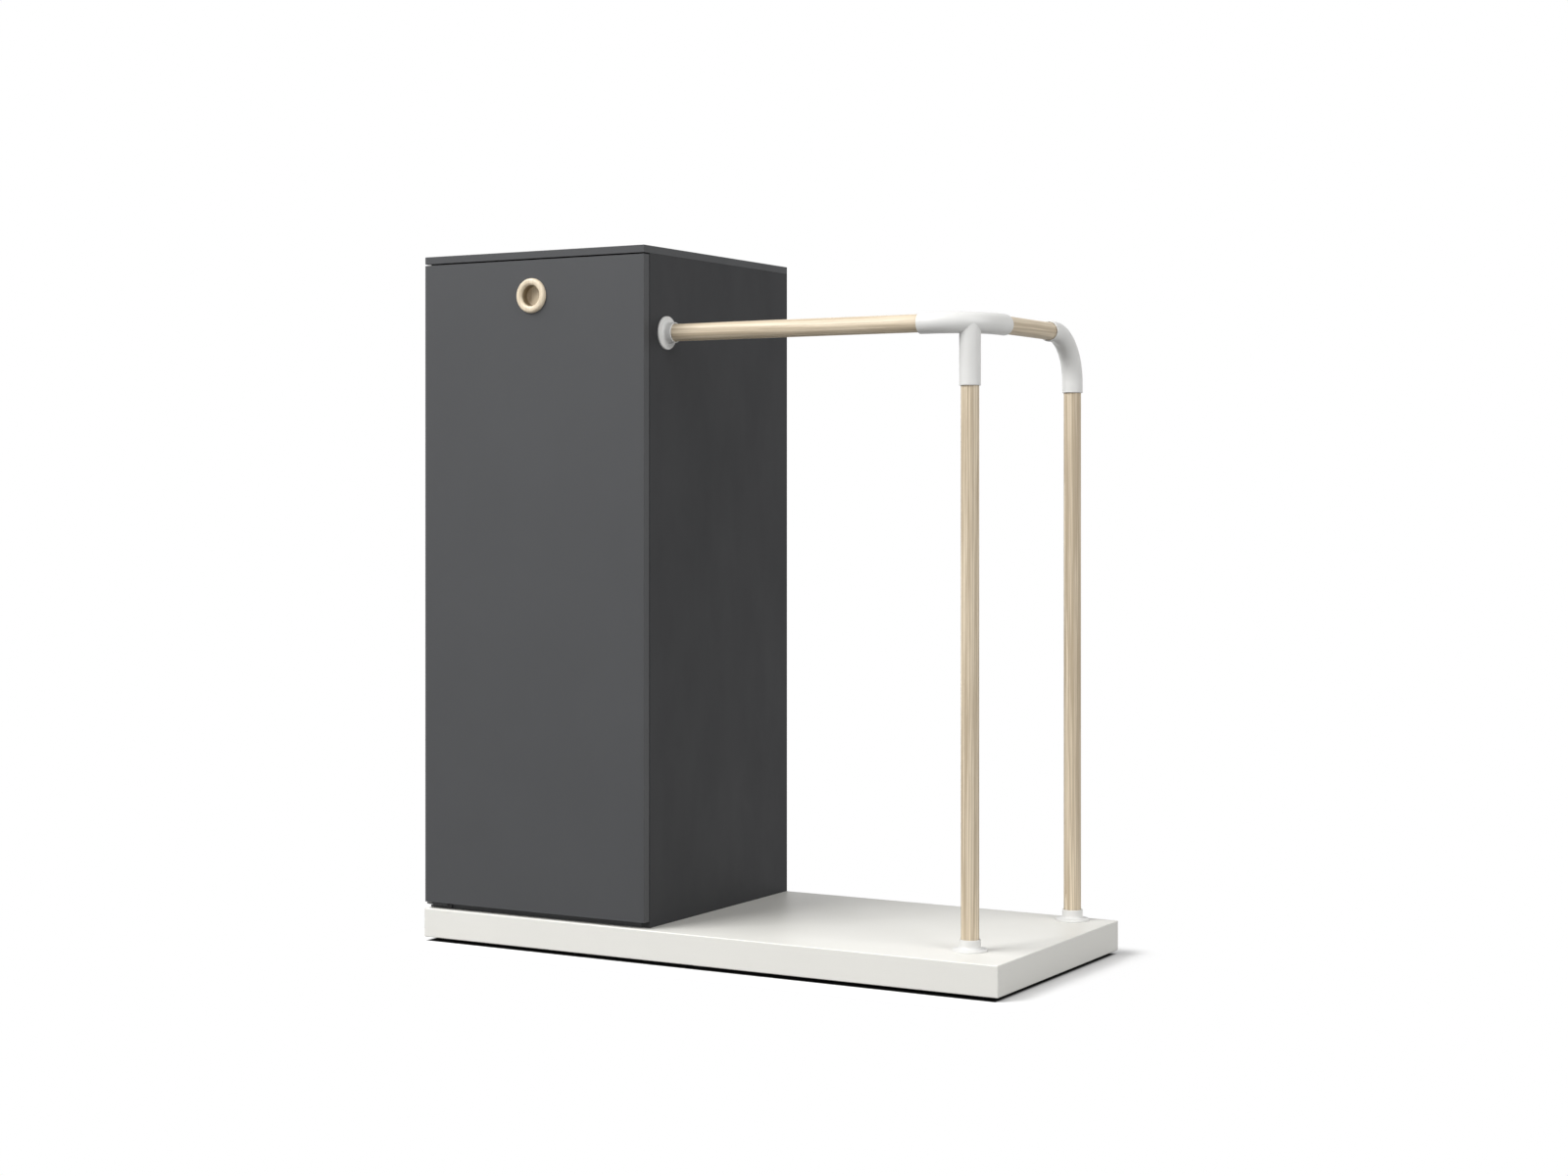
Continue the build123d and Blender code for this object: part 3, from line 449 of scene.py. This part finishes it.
def shown(nodes, links):
    """One for a ray from the camera, off a gloss or through something clear, and nought for the others."""
    path = nodes.new("ShaderNodeLightPath")
    seen = path.outputs["Is Camera Ray"]
    for ray in ("Is Glossy Ray", "Is Transmission Ray"):
        either = nodes.new("ShaderNodeMath")
        either.operation = "MAXIMUM"
        links.new(seen, either.inputs[0])
        links.new(path.outputs[ray], either.inputs[1])
        seen = either.outputs[0]
    return seen


def floor():
    """White floor that keeps the object's contact shadow. Under the object it has painted shade, dark to the
    camera, and gives the other rays only part of their light back."""
    mesh = bpy.data.meshes.new("floor")
    signs = ((-1, -1), (1, -1), (1, 1), (-1, 1))
    mesh.from_pydata([(x * FLOOR_HALF, y * FLOOR_HALF, 0) for x, y in signs], [], [(0, 1, 2, 3)])
    obj = bpy.data.objects.new("floor", mesh)
    bpy.context.scene.collection.objects.link(obj)
    f = Finish("pale floor", FLOOR_WHITE, FLOOR_ROUGHNESS)
    f.set(f.shader, "Specular IOR Level", 0.0)
    place = f.axes(f.place)
    over = []
    for axis in (0, 1):
        half_side = (cad_box[1][axis] - cad_box[0][axis]) / 2
        over.append(f.math("SUBTRACT", f.math("ABSOLUTE", place[axis]), half_side))
    distance = f.length(*(f.math("MAXIMUM", side, 0.0) for side in over))
    far = f.span(distance, 0.0, SHADOW_REACH)
    far.node.interpolation_type = "SMOOTHSTEP"
    # Painted shade: the floor under the object is dark to the camera, from a little inside the object's box
    under = f.span(f.math("MAXIMUM", *over), -UNDER_DARK, -UNDER_EDGE, to_low=1.0, to_high=0.0)
    from_camera = f.add("ShaderNodeLightPath").outputs["Is Camera Ray"]
    f.set(f.shader, "Base Color", f.mix(from_camera, FLOOR_BOUNCE, f.mix(under, FLOOR_WHITE, FLOOR_UNDER_PAINTED_SHADE)))
    plain = f.add("ShaderNodeEmission")
    blend = f.add("ShaderNodeMixShader")
    f.set(blend, 0, f.math("MULTIPLY", far, shown(f.nodes, f.links)))
    f.set(blend, 1, f.shader.outputs["BSDF"])
    f.set(blend, 2, plain.outputs["Emission"])
    f.set(f.nodes["Material Output"], "Surface", blend.outputs["Shader"])
    mesh.materials.append(f.material)


def world():
    """White where it shows, and a softer light on the object, stronger from the front."""
    studio = bpy.data.worlds.new("studio")
    bpy.context.scene.world = studio
    studio.use_nodes = True
    nodes, links = studio.node_tree.nodes, studio.node_tree.links
    background = nodes["Background"]
    background.inputs["Color"].default_value = (1, 1, 1, 1)
    parts = nodes.new("ShaderNodeSeparateXYZ")
    links.new(nodes.new("ShaderNodeTexCoord").outputs["Generated"], parts.inputs[0])
    sky = nodes.new("ShaderNodeMapRange")
    for socket, number in (("From Min", -SKY_TURN), ("From Max", SKY_TURN),
                           ("To Min", SKY_FRONT), ("To Max", SKY_BACK)):
        sky.inputs[socket].default_value = number
    links.new(parts.outputs[1], sky.inputs["Value"])
    strength = nodes.new("ShaderNodeMapRange")
    strength.inputs["To Max"].default_value = 1.0
    links.new(sky.outputs["Result"], strength.inputs["To Min"])
    links.new(shown(nodes, links), strength.inputs["Value"])
    links.new(strength.outputs["Result"], background.inputs["Strength"])


camera()
floor()
world()
for lamp, settings in LAMPS.items():
    studio_lamp(lamp, *settings)
bpy.context.scene.view_settings.view_transform = "Standard"
